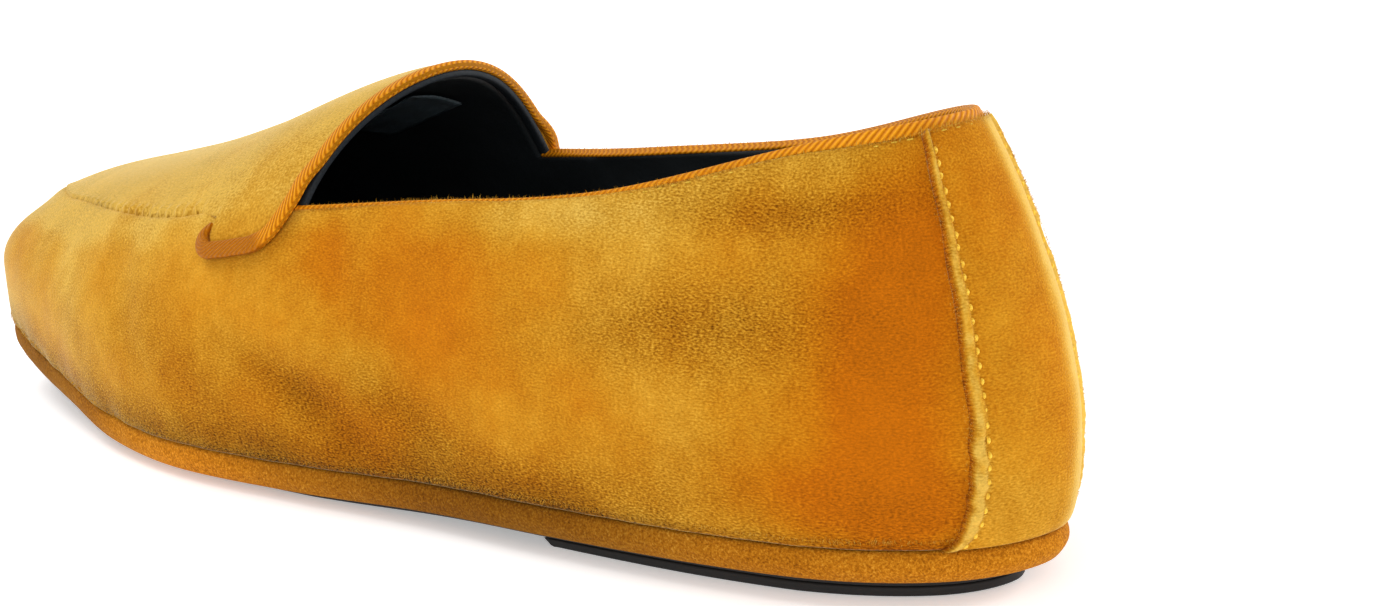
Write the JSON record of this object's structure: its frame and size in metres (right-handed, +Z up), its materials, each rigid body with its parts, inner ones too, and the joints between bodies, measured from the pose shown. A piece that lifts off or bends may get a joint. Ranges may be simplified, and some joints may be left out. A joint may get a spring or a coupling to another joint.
{
  "type": "loafer",
  "caption": "Left slip-on velvet loafer with a tabbed apron, twill-bound collar and throat, a low suede-wrapped sole and a thin rubber heel lift.",
  "frame": {"origin": "middle of the shoe's box, on the floor", "axes": "+X to the toe, +Y to the wearer's left, the outer side, and +Z up"},
  "size_m": [0.2622, 0.0894, 0.0737],
  "materials": {
    "velvet": "short golden velvet pile with a sheen",
    "twill": "orange twill tape with slanted ribs",
    "suede": "orange-brown napped suede",
    "rubber": "black, matt",
    "lining": "smooth black lining leather"
  },
  "bodies": {
    "root": {"outsole": "rubber", "heel_lift": "rubber", "midsole": "suede", "insole": "lining", "upper": "velvet", "apron": "velvet", "backstay": "velvet", "collar_binding": "twill", "throat_binding": "twill"}
  },
  "joints": []
}
